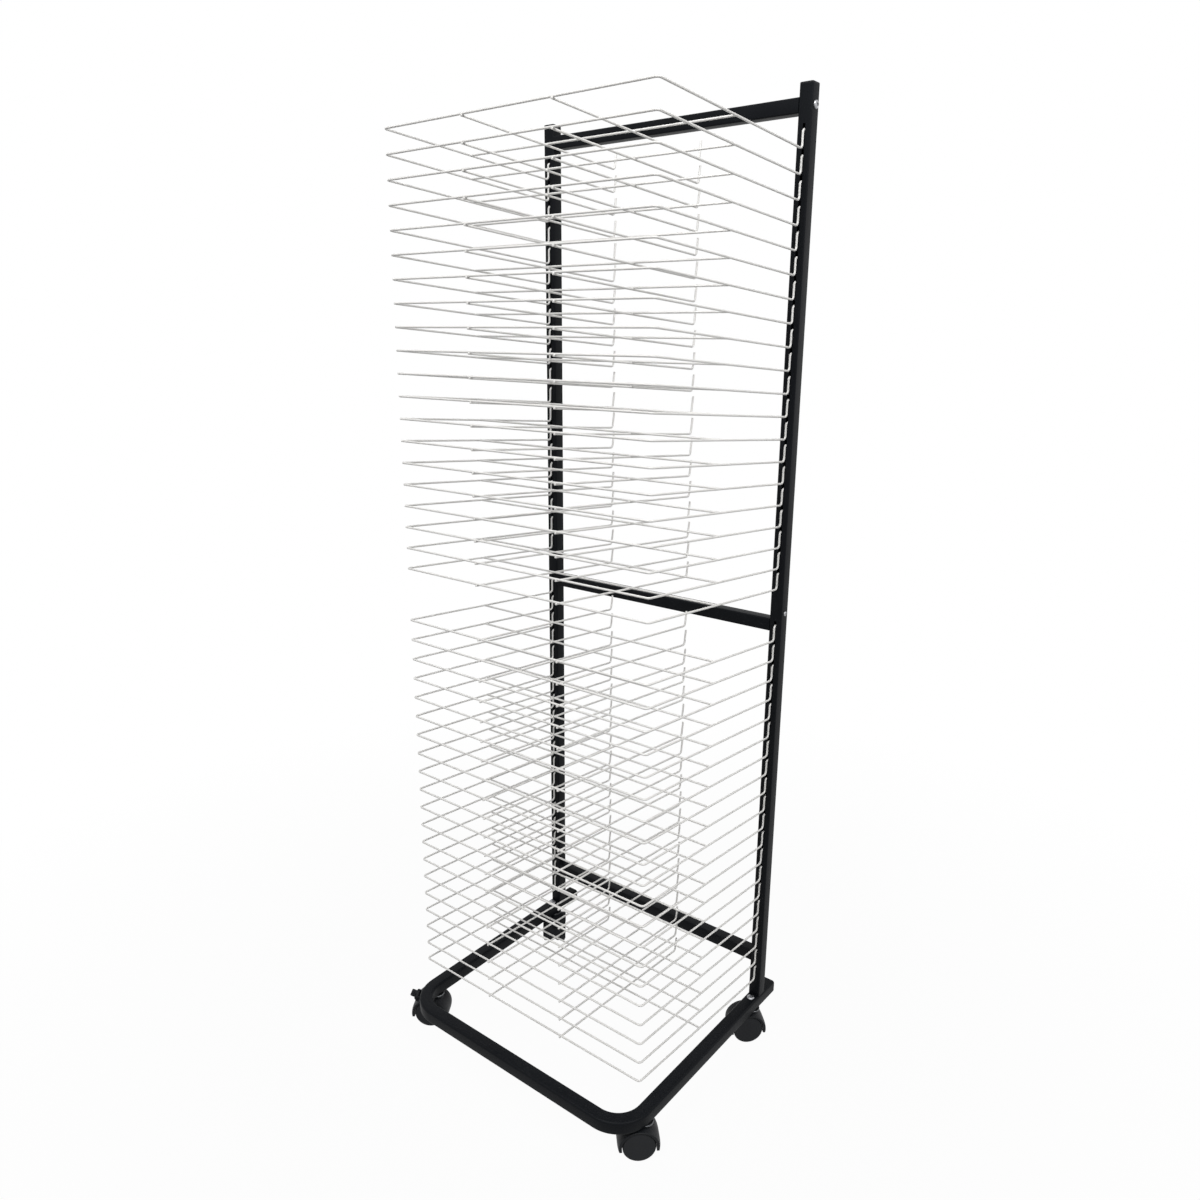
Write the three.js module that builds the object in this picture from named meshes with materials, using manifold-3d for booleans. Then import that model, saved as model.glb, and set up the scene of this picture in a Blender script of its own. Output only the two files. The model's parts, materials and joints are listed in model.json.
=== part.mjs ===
// Mobile art drying rack: two slotted posts on a bent base tube with four casters,
// and two stacks of wire shelves that hook into the posts and lift at the front.
// Millimetres, +Z up, +X to the right, front towards -Y. The origin lies on the floor,
// midway between the posts and midway between the base tube's front and rear ends.

import * as THREE from 'three';
import { mergeVertices } from 'three/addons/utils/BufferGeometryUtils.js';
import Module from 'manifold-3d';

const wasm = await Module();
wasm.setup();

// Shelf stacks
const SHELVES_PER_STACK = 20;
const SHELF_PITCH = 32;
const STACK_STEP = 82;
const LOWEST_SHELF_RISE = 32;
const HEAD_ROOM = 79;

// One wire shelf
const SHELF_DEPTH = 331;
const SHELF_TILT = THREE.MathUtils.degToRad(4.2);
const WIRE_D = 3;
const WIRE_SIDES = 6;
const WELD_SINK = 0.6;
const CROSS_WIRE_SETBACK = 171;
const INNER_WIRE_SPACING = 151;
const FRONT_OVERHANG = 2.5;
const STOP_SETBACK = 19;
const STOP_CLEARANCE = 8;
const STOP_LEAN = THREE.MathUtils.degToRad(9);
const HOOK_RISE = 24;
const HOOK_REACH = 8;
const HOOK_TIP_RISE = 5;
const LIFT_LIMIT = THREE.MathUtils.degToRad(65);

// Posts and rails
const POST_SPACING = 452;
const POST_SIZE = 20;
const POST_WALL = 1.2;
const RAIL_SIZE = 20;
const RAIL_WALL = 1.2;
const TOP_RAIL_DROP = 25;
const MID_RAIL_RISE = 24;
const BOTTOM_RAIL_RISE = 42;
const POST_CAP_PLATE = 2.5;
const POST_CAP_PLUG = 12;

// Base tube
const BASE_SIZE = 22;
const BASE_WALL = 1.5;
const BASE_CORNER_R = 4;
const BASE_BEND_R = 50;
const BASE_FRONT_REACH = 366;
const BASE_REAR_REACH = 56;
const BASE_CAP_PLATE = 2.5;
const BASE_CAP_PLUG = 14;

// Casters
const CASTER_HEIGHT = 56;
const FRONT_STEM_SETBACK = 315;
const REAR_STEM_SETBACK = 2;
const CASTER_TRAIL = 10;
const WHEEL_D = 50;
const WHEEL_W = 17;
const WHEEL_SPACING = 24;
const AXLE_D = 8;
const WEB_THICKNESS = 5;
const WEB_LOBE_R = 9;
const HOOD_WALL = 2;
const HOOD_END_WALL = 5;
const HOOD_SIDE = 1.5;
const HOOD_DROP = THREE.MathUtils.degToRad(12);
const BOSS_D = 18;
const COLLAR_D = 26;
const COLLAR_THICKNESS = 2.4;
const STEM_D = 10;
const STEM_IN_TUBE = 14;
const FRONT_RIGHT_TURN = 43;
const FRONT_LEFT_TURN = 34;
const REAR_RIGHT_TURN = 45;
const REAR_LEFT_TURN = 130;

// Brake pedals
const PEDAL_ANGLE = THREE.MathUtils.degToRad(43);
const PEDAL_TILT = THREE.MathUtils.degToRad(22);
const PEDAL_LENGTH = 12;
const PEDAL_WIDTH = 15;
const PEDAL_THICKNESS = 3.6;
const PEDAL_BARREL_D = 6;
const PEDAL_EAR = 2.4;

// Facets
const ROUND_SIDES = 12;
const WHEEL_SIDES = 20;
const HOOD_STEPS = 8;
const BEND_STEPS = 5;
const TUBE_CORNER_STEPS = 2;
const BORE_CORNER_STEPS = 1;

// Clearances
const HOOK_GAP = 0.3;
const SLOT_GAP = 0.4;
const PLUG_GAP = 0.3;
const STEM_GAP = 0.3;
const AXLE_GAP = 0.3;
const WHEEL_GAP = 2;
const PEDAL_GAP = 0.3;
const SEAT_GAP = 0.3;

// How far cutting solids run past a face, and joined solids into one another
const CUT_PAST = 1;
const JOIN_DEPTH = 1;

// Places worked out from the sizes above
const wireR = WIRE_D / 2;
const baseBottom = CASTER_HEIGHT;
const baseTop = baseBottom + BASE_SIZE;
const baseCentreZ = baseBottom + BASE_SIZE / 2;
const baseFrontToRear = BASE_FRONT_REACH + BASE_SIZE / 2 + BASE_REAR_REACH;
const hookY = baseFrontToRear / 2 - BASE_REAR_REACH;
const postFrontY = hookY + wireR + HOOK_GAP;
const postCentreY = postFrontY + POST_SIZE / 2;
const postX = POST_SPACING / 2;
const lowestShelfZ = baseTop + LOWEST_SHELF_RISE;
const stackHeight = (SHELVES_PER_STACK - 1) * SHELF_PITCH;
const lowerStackTopZ = lowestShelfZ + stackHeight;
const upperStackTopZ = lowerStackTopZ + STACK_STEP + stackHeight;
const postTop = upperStackTopZ + HEAD_ROOM;
const wheelR = WHEEL_D / 2;
const hoodInnerR = wheelR + WHEEL_GAP;
const hoodOuterR = hoodInnerR + HOOD_WALL;
const hoodReach = hoodInnerR + HOOD_END_WALL;
const hoodWidth = WHEEL_SPACING + WHEEL_W + 2 * HOOD_SIDE;

const paint = (color, roughness, metalness) =>
  new THREE.MeshStandardMaterial({ color, roughness, metalness });
const FRAME_BLACK = paint(0x1b1d20, 0.5, 0.1);
const SHELF_WHITE = paint(0xe9e9e6, 0.4, 0.05);
const CAP_BLACK = paint(0x16171a, 0.6, 0);
const CASTER_GREY = paint(0x2e3135, 0.55, 0);
const WHEEL_GREY = paint(0x3a3d41, 0.65, 0);
const PEDAL_GREY = paint(0x303236, 0.5, 0);

// Solids and meshes
function toSolid(geometry) {
  const bare = geometry.index ? geometry.toNonIndexed() : geometry.clone();
  bare.deleteAttribute('normal');
  bare.deleteAttribute('uv');
  const merged = mergeVertices(bare, 1e-4);
  return new wasm.Manifold(
    new wasm.Mesh({
      numProp: 3,
      vertProperties: new Float32Array(merged.attributes.position.array),
      triVerts: new Uint32Array(merged.index.array),
    }),
  );
}

function toGeometry(solid) {
  const { vertProperties, triVerts } = solid.getMesh();
  const geometry = new THREE.BufferGeometry();
  geometry.setAttribute('position', new THREE.BufferAttribute(new Float32Array(vertProperties), 3));
  geometry.setIndex(new THREE.BufferAttribute(new Uint32Array(triVerts), 1));
  geometry.computeVertexNormals();
  return geometry;
}

function part(name, solid, material) {
  const mesh = new THREE.Mesh(toGeometry(solid), material);
  mesh.name = name;
  return mesh;
}

const joined = (first, ...others) => others.reduce((whole, piece) => whole.add(piece), first);
const cut = (body, ...tools) => tools.reduce((whole, tool) => whole.subtract(tool), body);

// Box between two opposite corners
function box(low, high) {
  const size = high.map((value, axis) => value - low[axis]);
  const geometry = new THREE.BoxGeometry(...size);
  geometry.translate(...high.map((value, axis) => (value + low[axis]) / 2));
  return toSolid(geometry);
}

// Upright cylinder between two heights
function upright(radius, x, y, z0, z1, sides) {
  const geometry = new THREE.CylinderGeometry(radius, radius, z1 - z0, sides);
  geometry.rotateX(Math.PI / 2);
  geometry.translate(x, y, (z0 + z1) / 2);
  return toSolid(geometry);
}

// Cylinder along Y, centred on y, with a flat side facing down
function crosswise(radius, x, y, z, length, sides) {
  const geometry = new THREE.CylinderGeometry(radius, radius, length, sides);
  geometry.rotateY(Math.PI / sides);
  geometry.translate(x, y, z);
  return toSolid(geometry);
}

// Convex section swept along a polyline with mitred corners. The section's first axis
// starts along `side`, and its second axis completes the frame.
function sweep(section, points, side) {
  const count = section.length;
  const along = points.slice(1).map((point, i) => point.clone().sub(points[i]).normalize());
  const v = along[0].clone().cross(side).normalize();
  const u = v.clone().cross(along[0]).normalize();
  let ring = section.map(([a, b]) =>
    points[0].clone().addScaledVector(u, a).addScaledVector(v, b));
  const rings = [ring];
  points.slice(1).forEach((point, i) => {
    const incoming = along[i];
    const outgoing = along[Math.min(i + 1, along.length - 1)];
    const normal = incoming.clone().add(outgoing).normalize();
    ring = ring.map((corner) => {
      const reach = point.clone().sub(corner).dot(normal) / incoming.dot(normal);
      return corner.clone().addScaledVector(incoming, reach);
    });
    rings.push(ring);
  });
  const index = [];
  for (let r = 0; r < rings.length - 1; r += 1) {
    for (let k = 0; k < count; k += 1) {
      const a = r * count + k;
      const b = r * count + ((k + 1) % count);
      index.push(a, b, b + count, a, b + count, a + count);
    }
  }
  const last = (rings.length - 1) * count;
  for (let k = 1; k < count - 1; k += 1) {
    index.push(0, k + 1, k);
    index.push(last, last + k, last + k + 1);
  }
  const geometry = new THREE.BufferGeometry().setFromPoints(rings.flat());
  geometry.setIndex(index);
  return toSolid(geometry);
}

const wireSection = Array.from({ length: WIRE_SIDES }, (_, k) => {
  const angle = (2 * Math.PI * k) / WIRE_SIDES;
  return [wireR * Math.cos(angle), wireR * Math.sin(angle)];
});

// Rounded square outline, counter-clockwise
function roundedSquare(size, radius, stepsPerCorner) {
  const inset = size / 2 - radius;
  const outline = [];
  for (let corner = 0; corner < 4; corner += 1) {
    const centreAngle = (corner + 0.5) * (Math.PI / 2);
    const cx = Math.sign(Math.cos(centreAngle)) * inset;
    const cy = Math.sign(Math.sin(centreAngle)) * inset;
    for (let k = 0; k <= stepsPerCorner; k += 1) {
      const angle = (corner + k / stepsPerCorner) * (Math.PI / 2);
      outline.push([cx + radius * Math.cos(angle), cy + radius * Math.sin(angle)]);
    }
  }
  return outline;
}

const vec = (x, y, z) => new THREE.Vector3(x, y, z);

// Wire shelf: a hooked U-shaped rim, one cross wire, and two inner wires that pass under
// the front and the cross wire and stand up at the rear as stops, leaning back. Its origin
// is the hook line at the height of the hook bends.
function shelfSolid() {
  const slope = Math.tan(SHELF_TILT);
  const planeZ = (y) => -y * slope;
  const hookDepth = postFrontY - hookY + HOOK_REACH;
  const halfRim = (side) => [
    vec(side * postX, hookDepth, HOOK_RISE + HOOK_TIP_RISE),
    vec(side * postX, hookDepth, HOOK_RISE),
    vec(side * postX, 0, HOOK_RISE),
    vec(side * postX, 0, 0),
    vec(side * postX, -SHELF_DEPTH, planeZ(-SHELF_DEPTH)),
  ];
  const rim = sweep(wireSection, [...halfRim(-1), ...halfRim(1).reverse()], vec(1, 0, 0));
  const crossZ = planeZ(-CROSS_WIRE_SETBACK);
  const cross = sweep(
    wireSection,
    [vec(-postX, -CROSS_WIRE_SETBACK, crossZ), vec(postX, -CROSS_WIRE_SETBACK, crossZ)],
    vec(0, Math.sin(SHELF_TILT), Math.cos(SHELF_TILT)),
  );
  const flatHalfHeight = wireR * Math.cos(Math.PI / WIRE_SIDES);
  const drop = (2 * flatHalfHeight - WELD_SINK) / Math.cos(SHELF_TILT);
  const frontEnd = -SHELF_DEPTH - FRONT_OVERHANG;
  const bendZ = planeZ(-STOP_SETBACK) - drop;
  const stopRise = SHELF_PITCH - STOP_CLEARANCE;
  const stopTipY = stopRise * Math.tan(STOP_LEAN) - STOP_SETBACK;
  const inner = [-1, 1].map((side) => {
    const x = (side * INNER_WIRE_SPACING) / 2;
    return sweep(
      wireSection,
      [
        vec(x, frontEnd, planeZ(frontEnd) - drop),
        vec(x, -STOP_SETBACK, bendZ),
        vec(x, stopTipY, bendZ + stopRise),
      ],
      vec(1, 0, 0),
    );
  });
  return joined(rim, cross, ...inner);
}

// Hook-bend heights, top shelf first
const shelfHeights = [upperStackTopZ, lowerStackTopZ].flatMap((top) =>
  Array.from({ length: SHELVES_PER_STACK }, (_, k) => top - k * SHELF_PITCH));

function shelves() {
  const solid = shelfSolid();
  const group = new THREE.Group();
  shelfHeights.forEach((z, i) => {
    const number = String(i + 1).padStart(2, '0');
    const shelf = part(`shelf_${number}`, solid, SHELF_WHITE);
    shelf.position.set(0, hookY, z);
    group.add(shelf);
  });
  return group;
}

// Slot for one hook: the hook pivots on its underside in the middle of the post wall,
// and the slot is tall enough for it at the lift limit.
const pivotRise = HOOK_RISE - wireR;
const wallTilt = (POST_WALL / 2) * Math.tan(LIFT_LIMIT);
const slotBelow = wallTilt + SLOT_GAP;
const slotAbove = WIRE_D / Math.cos(LIFT_LIMIT) + wallTilt + SLOT_GAP;
const slotHalfWidth = wireR + SLOT_GAP;

function post(side) {
  const x = side * postX;
  const half = POST_SIZE / 2;
  const bore = half - POST_WALL;
  const body = cut(
    box([x - half, postFrontY, baseTop], [x + half, postFrontY + POST_SIZE, postTop]),
    box(
      [x - bore, postCentreY - bore, baseTop - CUT_PAST],
      [x + bore, postCentreY + bore, postTop + CUT_PAST],
    ),
  );
  const slots = shelfHeights.map((z) => {
    const pivotZ = z + pivotRise;
    const low = [x - slotHalfWidth, postFrontY - CUT_PAST, pivotZ - slotBelow];
    const high = [x + slotHalfWidth, postFrontY + POST_WALL + CUT_PAST, pivotZ + slotAbove];
    return box(low, high);
  });
  return cut(body, ...slots);
}

function postCap(side) {
  const x = side * postX;
  const half = POST_SIZE / 2;
  const plug = half - POST_WALL - PLUG_GAP;
  return joined(
    box([x - half, postFrontY, postTop], [x + half, postFrontY + POST_SIZE, postTop + POST_CAP_PLATE]),
    box(
      [x - plug, postCentreY - plug, postTop - POST_CAP_PLUG],
      [x + plug, postCentreY + plug, postTop + POST_CAP_PLATE / 2],
    ),
  );
}

// Square rail between the posts, flush with their front faces
function rail(centreZ) {
  const reach = postX - POST_SIZE / 2;
  const half = RAIL_SIZE / 2;
  const bore = half - RAIL_WALL;
  const past = reach + CUT_PAST;
  const centreY = postFrontY + half;
  return cut(
    box([-reach, centreY - half, centreZ - half], [reach, centreY + half, centreZ + half]),
    box([-past, centreY - bore, centreZ - bore], [past, centreY + bore, centreZ + bore]),
  );
}

// Base tube centreline: from the rear of one side, round the front, to the other rear
const frontRailY = hookY - BASE_FRONT_REACH;
const tubeEndY = hookY + BASE_REAR_REACH - BASE_CAP_PLATE;
const baseBore = BASE_SIZE - 2 * BASE_WALL;

function basePath(endY) {
  const bendY = frontRailY + BASE_BEND_R;
  const bend = (side) => Array.from({ length: BEND_STEPS + 1 }, (_, k) => {
    const angle = (k / BEND_STEPS) * (Math.PI / 2);
    const x = side * (postX - BASE_BEND_R + BASE_BEND_R * Math.cos(angle));
    return vec(x, bendY - BASE_BEND_R * Math.sin(angle), baseCentreZ);
  });
  const half = (side) => [vec(side * postX, endY, baseCentreZ), ...bend(side)];
  return [...half(-1), ...half(1).reverse()];
}

function baseTube() {
  const outer = roundedSquare(BASE_SIZE, BASE_CORNER_R, TUBE_CORNER_STEPS);
  const inner = roundedSquare(baseBore, BASE_CORNER_R - BASE_WALL, BORE_CORNER_STEPS);
  const tube = cut(
    sweep(outer, basePath(tubeEndY), vec(1, 0, 0)),
    sweep(inner, basePath(tubeEndY + CUT_PAST), vec(1, 0, 0)),
  );
  const holeLow = baseBottom - CUT_PAST;
  const holeHigh = baseBottom + BASE_WALL + CUT_PAST;
  const holes = casterPlaces.map(({ x, y }) =>
    upright(STEM_D / 2 + STEM_GAP, x, y, holeLow, holeHigh, ROUND_SIDES));
  return cut(tube, ...holes);
}

function baseCap(side) {
  const x = side * postX;
  const plate = roundedSquare(BASE_SIZE, BASE_CORNER_R, TUBE_CORNER_STEPS);
  const plug = roundedSquare(baseBore - 2 * PLUG_GAP, BASE_CORNER_R - BASE_WALL, BORE_CORNER_STEPS);
  const at = (y) => vec(x, y, baseCentreZ);
  return joined(
    sweep(plate, [at(tubeEndY), at(tubeEndY + BASE_CAP_PLATE)], vec(1, 0, 0)),
    sweep(plug, [at(tubeEndY - BASE_CAP_PLUG), at(tubeEndY + BASE_CAP_PLATE / 2)], vec(1, 0, 0)),
  );
}

// Caster in its own frame: the stem on the Z axis, the wheels trailing towards -X
const frontStemY = hookY - FRONT_STEM_SETBACK;
const rearStemY = hookY - REAR_STEM_SETBACK;
const casterPlaces = [
  { name: 'front_left', x: -postX, y: frontStemY, turn: FRONT_LEFT_TURN, brake: true },
  { name: 'front_right', x: postX, y: frontStemY, turn: FRONT_RIGHT_TURN, brake: false },
  { name: 'rear_left', x: -postX, y: rearStemY, turn: REAR_LEFT_TURN, brake: true },
  { name: 'rear_right', x: postX, y: rearStemY, turn: REAR_RIGHT_TURN, brake: false },
];
const hoodAtPedal = 1 / Math.hypot(Math.cos(PEDAL_ANGLE) / hoodReach, Math.sin(PEDAL_ANGLE) / hoodOuterR);
const pivotR = hoodAtPedal + PEDAL_GAP + PEDAL_BARREL_D / 2;
const pedalX = -CASTER_TRAIL - pivotR * Math.cos(PEDAL_ANGLE);
const pedalZ = wheelR + pivotR * Math.sin(PEDAL_ANGLE);

// Outline in the XZ plane, extruded along Y about the caster's middle
function plateAcross(shape, width) {
  const geometry = new THREE.ExtrudeGeometry(shape, {
    depth: width,
    bevelEnabled: false,
    curveSegments: HOOD_STEPS,
  });
  geometry.translate(0, 0, -width / 2);
  geometry.rotateX(Math.PI / 2);
  return toSolid(geometry);
}

// Hood: thin over the wheels, thicker towards its two ends
function hoodShape() {
  const shape = new THREE.Shape();
  const endAngle = Math.PI + HOOD_DROP;
  shape.absellipse(-CASTER_TRAIL, wheelR, hoodReach, hoodOuterR, -HOOD_DROP, endAngle, false, 0);
  shape.absarc(-CASTER_TRAIL, wheelR, hoodInnerR, endAngle, -HOOD_DROP, true);
  shape.closePath();
  return shape;
}

function webShape() {
  const shape = new THREE.Shape();
  shape.absarc(-CASTER_TRAIL, wheelR, hoodOuterR - HOOD_WALL / 2, 0, Math.PI, false);
  shape.absarc(-CASTER_TRAIL, wheelR, WEB_LOBE_R, Math.PI, 2 * Math.PI, false);
  shape.closePath();
  return shape;
}

function casterHousing(brake) {
  const hood = plateAcross(hoodShape(), hoodWidth);
  const web = plateAcross(webShape(), WEB_THICKNESS);
  const bossTop = baseBottom - SEAT_GAP;
  const roomR = hoodInnerR + HOOD_WALL / 2;
  const wheelRoom = crosswise(roomR, -CASTER_TRAIL, 0, wheelR, hoodWidth, 2 * HOOD_STEPS);
  const boss = cut(upright(BOSS_D / 2, 0, 0, wheelR, bossTop, ROUND_SIDES), wheelRoom);
  const collar = upright(COLLAR_D / 2, 0, 0, bossTop - COLLAR_THICKNESS, bossTop, ROUND_SIDES);
  const stemTop = baseBottom + STEM_IN_TUBE;
  const stem = upright(STEM_D / 2, 0, 0, bossTop - JOIN_DEPTH, stemTop, ROUND_SIDES);
  const pieces = [web, boss, collar, stem];
  if (brake) {
    const earR = pivotR + PEDAL_BARREL_D / 2;
    const earSpan = PEDAL_BARREL_D / 2;
    const toHood = pivotR - hoodAtPedal + HOOD_WALL / 2;
    [-1, 1].forEach((side) => {
      const y0 = side * (PEDAL_WIDTH / 2 + PEDAL_GAP);
      const y1 = y0 + side * PEDAL_EAR;
      const ear = new THREE.BoxGeometry(toHood + earSpan, PEDAL_EAR, PEDAL_BARREL_D);
      ear.translate(-(earR - (toHood + earSpan) / 2), (y0 + y1) / 2, 0);
      ear.rotateY(PEDAL_ANGLE);
      ear.translate(-CASTER_TRAIL, 0, wheelR);
      pieces.push(toSolid(ear));
    });
  }
  const holeR = AXLE_D / 2 + AXLE_GAP;
  const holeLength = WEB_THICKNESS + 2 * CUT_PAST;
  const axleHole = crosswise(holeR, -CASTER_TRAIL, 0, wheelR, holeLength, ROUND_SIDES);
  return cut(joined(hood, ...pieces), axleHole);
}

function wheelPair() {
  const axle = crosswise(AXLE_D / 2, -CASTER_TRAIL, 0, wheelR, WHEEL_SPACING, ROUND_SIDES);
  const rimR = wheelR / Math.cos(Math.PI / WHEEL_SIDES);
  const wheels = [-1, 1].map((side) =>
    crosswise(rimR, -CASTER_TRAIL, (side * WHEEL_SPACING) / 2, wheelR, WHEEL_W, WHEEL_SIDES));
  return joined(axle, ...wheels);
}

function brakePedal() {
  const barrel = crosswise(PEDAL_BARREL_D / 2, pedalX, 0, pedalZ, PEDAL_WIDTH, ROUND_SIDES);
  const plate = new THREE.BoxGeometry(PEDAL_LENGTH, PEDAL_WIDTH, PEDAL_THICKNESS);
  plate.translate(-PEDAL_LENGTH / 2, 0, 0);
  plate.rotateY(PEDAL_TILT);
  plate.translate(pedalX, 0, pedalZ);
  return joined(barrel, toSolid(plate));
}

function caster({ name, x, y, turn, brake }) {
  const group = new THREE.Group();
  group.add(part(`${name}_caster_housing`, casterHousing(brake), CASTER_GREY));
  group.add(part(`${name}_wheel_pair`, wheelPair(), WHEEL_GREY));
  if (brake) {
    group.add(part(`${name}_brake_pedal`, brakePedal(), PEDAL_GREY));
  }
  group.position.set(x, y, 0);
  group.rotation.z = THREE.MathUtils.degToRad(turn);
  return group;
}

// The whole rack
const rack = new THREE.Group();
rack.name = 'art_drying_rack';
rack.add(part('base_tube', baseTube(), FRAME_BLACK));
[['left', -1], ['right', 1]].forEach(([name, side]) => {
  rack.add(part(`${name}_post`, post(side), FRAME_BLACK));
  rack.add(part(`${name}_post_cap`, postCap(side), CAP_BLACK));
  rack.add(part(`${name}_base_cap`, baseCap(side), CAP_BLACK));
});
rack.add(part('top_rail', rail(postTop - TOP_RAIL_DROP), FRAME_BLACK));
rack.add(part('mid_rail', rail(lowerStackTopZ + MID_RAIL_RISE), FRAME_BLACK));
rack.add(part('bottom_rail', rail(lowestShelfZ + BOTTOM_RAIL_RISE), FRAME_BLACK));
casterPlaces.forEach((place) => rack.add(caster(place)));
rack.add(shelves());

export default rack;
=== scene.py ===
import itertools
import json
import logging
import math
from dataclasses import dataclass, field
from enum import Enum
from typing import Callable, Optional, Sequence, Union

import bpy
import numpy as np
from mathutils import Matrix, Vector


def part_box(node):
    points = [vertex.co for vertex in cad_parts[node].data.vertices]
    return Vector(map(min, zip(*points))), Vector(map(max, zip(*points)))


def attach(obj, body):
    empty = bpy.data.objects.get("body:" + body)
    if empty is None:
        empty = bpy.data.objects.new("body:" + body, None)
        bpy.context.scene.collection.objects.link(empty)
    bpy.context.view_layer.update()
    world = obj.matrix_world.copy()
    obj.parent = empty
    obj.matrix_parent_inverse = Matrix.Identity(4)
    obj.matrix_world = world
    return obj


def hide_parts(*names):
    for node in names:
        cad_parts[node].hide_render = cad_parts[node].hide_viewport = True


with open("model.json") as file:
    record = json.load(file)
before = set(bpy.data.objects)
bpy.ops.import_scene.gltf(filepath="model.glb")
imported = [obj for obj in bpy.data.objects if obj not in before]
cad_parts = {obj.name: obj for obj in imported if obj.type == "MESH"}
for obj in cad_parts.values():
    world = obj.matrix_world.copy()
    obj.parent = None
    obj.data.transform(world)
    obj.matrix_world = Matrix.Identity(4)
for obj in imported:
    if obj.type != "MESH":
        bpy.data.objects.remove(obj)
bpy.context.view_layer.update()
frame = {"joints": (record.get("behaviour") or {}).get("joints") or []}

MM = 0.001
PHOTO_PIXELS = 1200
log = logging.getLogger("drying_rack")


class Slot(Enum):
    """The record's material slots."""

    FRAME = "frame_black"
    SHELF = "shelf_white"
    CAP = "cap_black"
    CASTER = "caster_grey"
    WHEEL = "wheel_grey"
    PEDAL = "pedal_grey"
    BARE_METAL = None


class Side(Enum):
    """The two sides of the rack, by the sign of their x."""

    LEFT = -1
    RIGHT = 1


def unit(vectors: np.ndarray) -> np.ndarray:
    """Each vector divided by its own length."""
    return vectors / np.linalg.norm(vectors, axis=-1, keepdims=True)


def circle(radius: float, sides: int) -> np.ndarray:
    """Round section: radius times the cosine and sine of evenly spaced angles."""
    angle = np.linspace(0, 2 * math.pi, sides, endpoint=False)
    return radius * np.stack([np.cos(angle), np.sin(angle)], -1)


def rounded_box(width: float, height: float, corner: float, steps: int) -> np.ndarray:
    """Box section with quarter-circle corners, counter-clockwise.

    Each corner is a quarter turn of its radius about a centre set in by that radius.

    Args:
        width: Size along the section's first axis.
        height: Size along its second axis.
        corner: Corner radius.
        steps: Straight steps in each quarter turn.

    Returns:
        The outline as an array of points, starting at the first corner past the x axis.
    """
    quarter = np.linspace(0, math.pi / 2, steps + 1)
    angle = quarter[None] + np.arange(4)[:, None] * math.pi / 2
    signs = np.array([[1, 1], [-1, 1], [-1, -1], [1, -1]])
    inset = np.array([width / 2 - corner, height / 2 - corner])
    arcs = np.stack([np.cos(angle), np.sin(angle)], -1) * corner
    return (arcs + (signs * inset)[:, None]).reshape(-1, 2)


def bent_path(corners: Sequence[Sequence[float]], radii: Sequence[float], steps: int) -> np.ndarray:
    """Straight lengths joined by round bends.

    A bend starts r * tan(turn / 2) before its corner and sweeps about a centre on the
    corner's bisector, as a blend of its first and last radius by sines of the swept angle.

    Args:
        corners: The path's ends and the sharp corners between them.
        radii: One bend radius for each inner corner.
        steps: Straight steps in each bend.

    Returns:
        The points of the path in order.
    """
    c = np.asarray(corners, float)
    lengths = [c[:1]]
    for before, at, after, radius in zip(c[:-2], c[1:-1], c[2:], radii):
        a, b = unit(before - at), unit(after - at)
        turn = math.pi - math.acos(float(np.clip(a @ b, -1, 1)))
        back = radius * math.tan(turn / 2)
        centre = at + unit(a + b) * math.hypot(radius, back)
        first, last = at + a * back - centre, at + b * back - centre
        swept = np.linspace(0, turn, steps + 1)[:, None]
        arc = (np.sin(turn - swept) * first + np.sin(swept) * last) / math.sin(turn)
        lengths.append(centre + arc)
    lengths.append(c[-1:])
    return np.concatenate(lengths)


def carried_frames(path: np.ndarray, side: Sequence[float]) -> tuple[np.ndarray, np.ndarray]:
    """Section axes carried along a path without twist.

    Each step turns the axes by the smallest rotation from one tangent to the next, and the
    rotations are multiplied up along the path.

    Args:
        path: Points of the path.
        side: A direction that the first section's first axis leans to.

    Returns:
        The first and the second section axis at each point of the path.
    """
    run = unit(np.diff(path, axis=0))
    tangent = unit(np.concatenate([run[:1], run[:-1] + run[1:], run[-1:]]))
    axis = np.cross(tangent[:-1], tangent[1:])
    cosine = np.einsum("ij,ij->i", tangent[:-1], tangent[1:])
    skew = np.cross(np.eye(3)[None], axis[:, None])
    skew = np.swapaxes(skew, 1, 2) * -1
    turns = np.eye(3) + skew + skew @ skew / (1 + cosine)[:, None, None]
    carried = np.array(list(itertools.accumulate(turns, lambda done, more: more @ done, initial=np.eye(3))))
    first = np.asarray(side, float)
    first = unit(first - (first @ tangent[0]) * tangent[0])
    u = carried @ first
    return u, np.cross(tangent, u)


def sweep(
    path: np.ndarray, section: np.ndarray, side: Sequence[float], scale: Optional[np.ndarray] = None
) -> np.ndarray:
    """A section carried along a path: path point plus each section axis times its offset.

    Args:
        path: Points of the path.
        section: Counter-clockwise outline in the section's two axes.
        side: A direction that the first axis leans to at the start.
        scale: The section's size at each path point, 1 where it isn't given.

    Returns:
        One ring of points for each point of the path.
    """
    u, v = carried_frames(path, side)
    size = np.ones(len(path)) if scale is None else np.asarray(scale)
    offset = section[None] * size[:, None, None]
    return path[:, None] + offset[..., :1] * u[:, None] + offset[..., 1:] * v[:, None]


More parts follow.
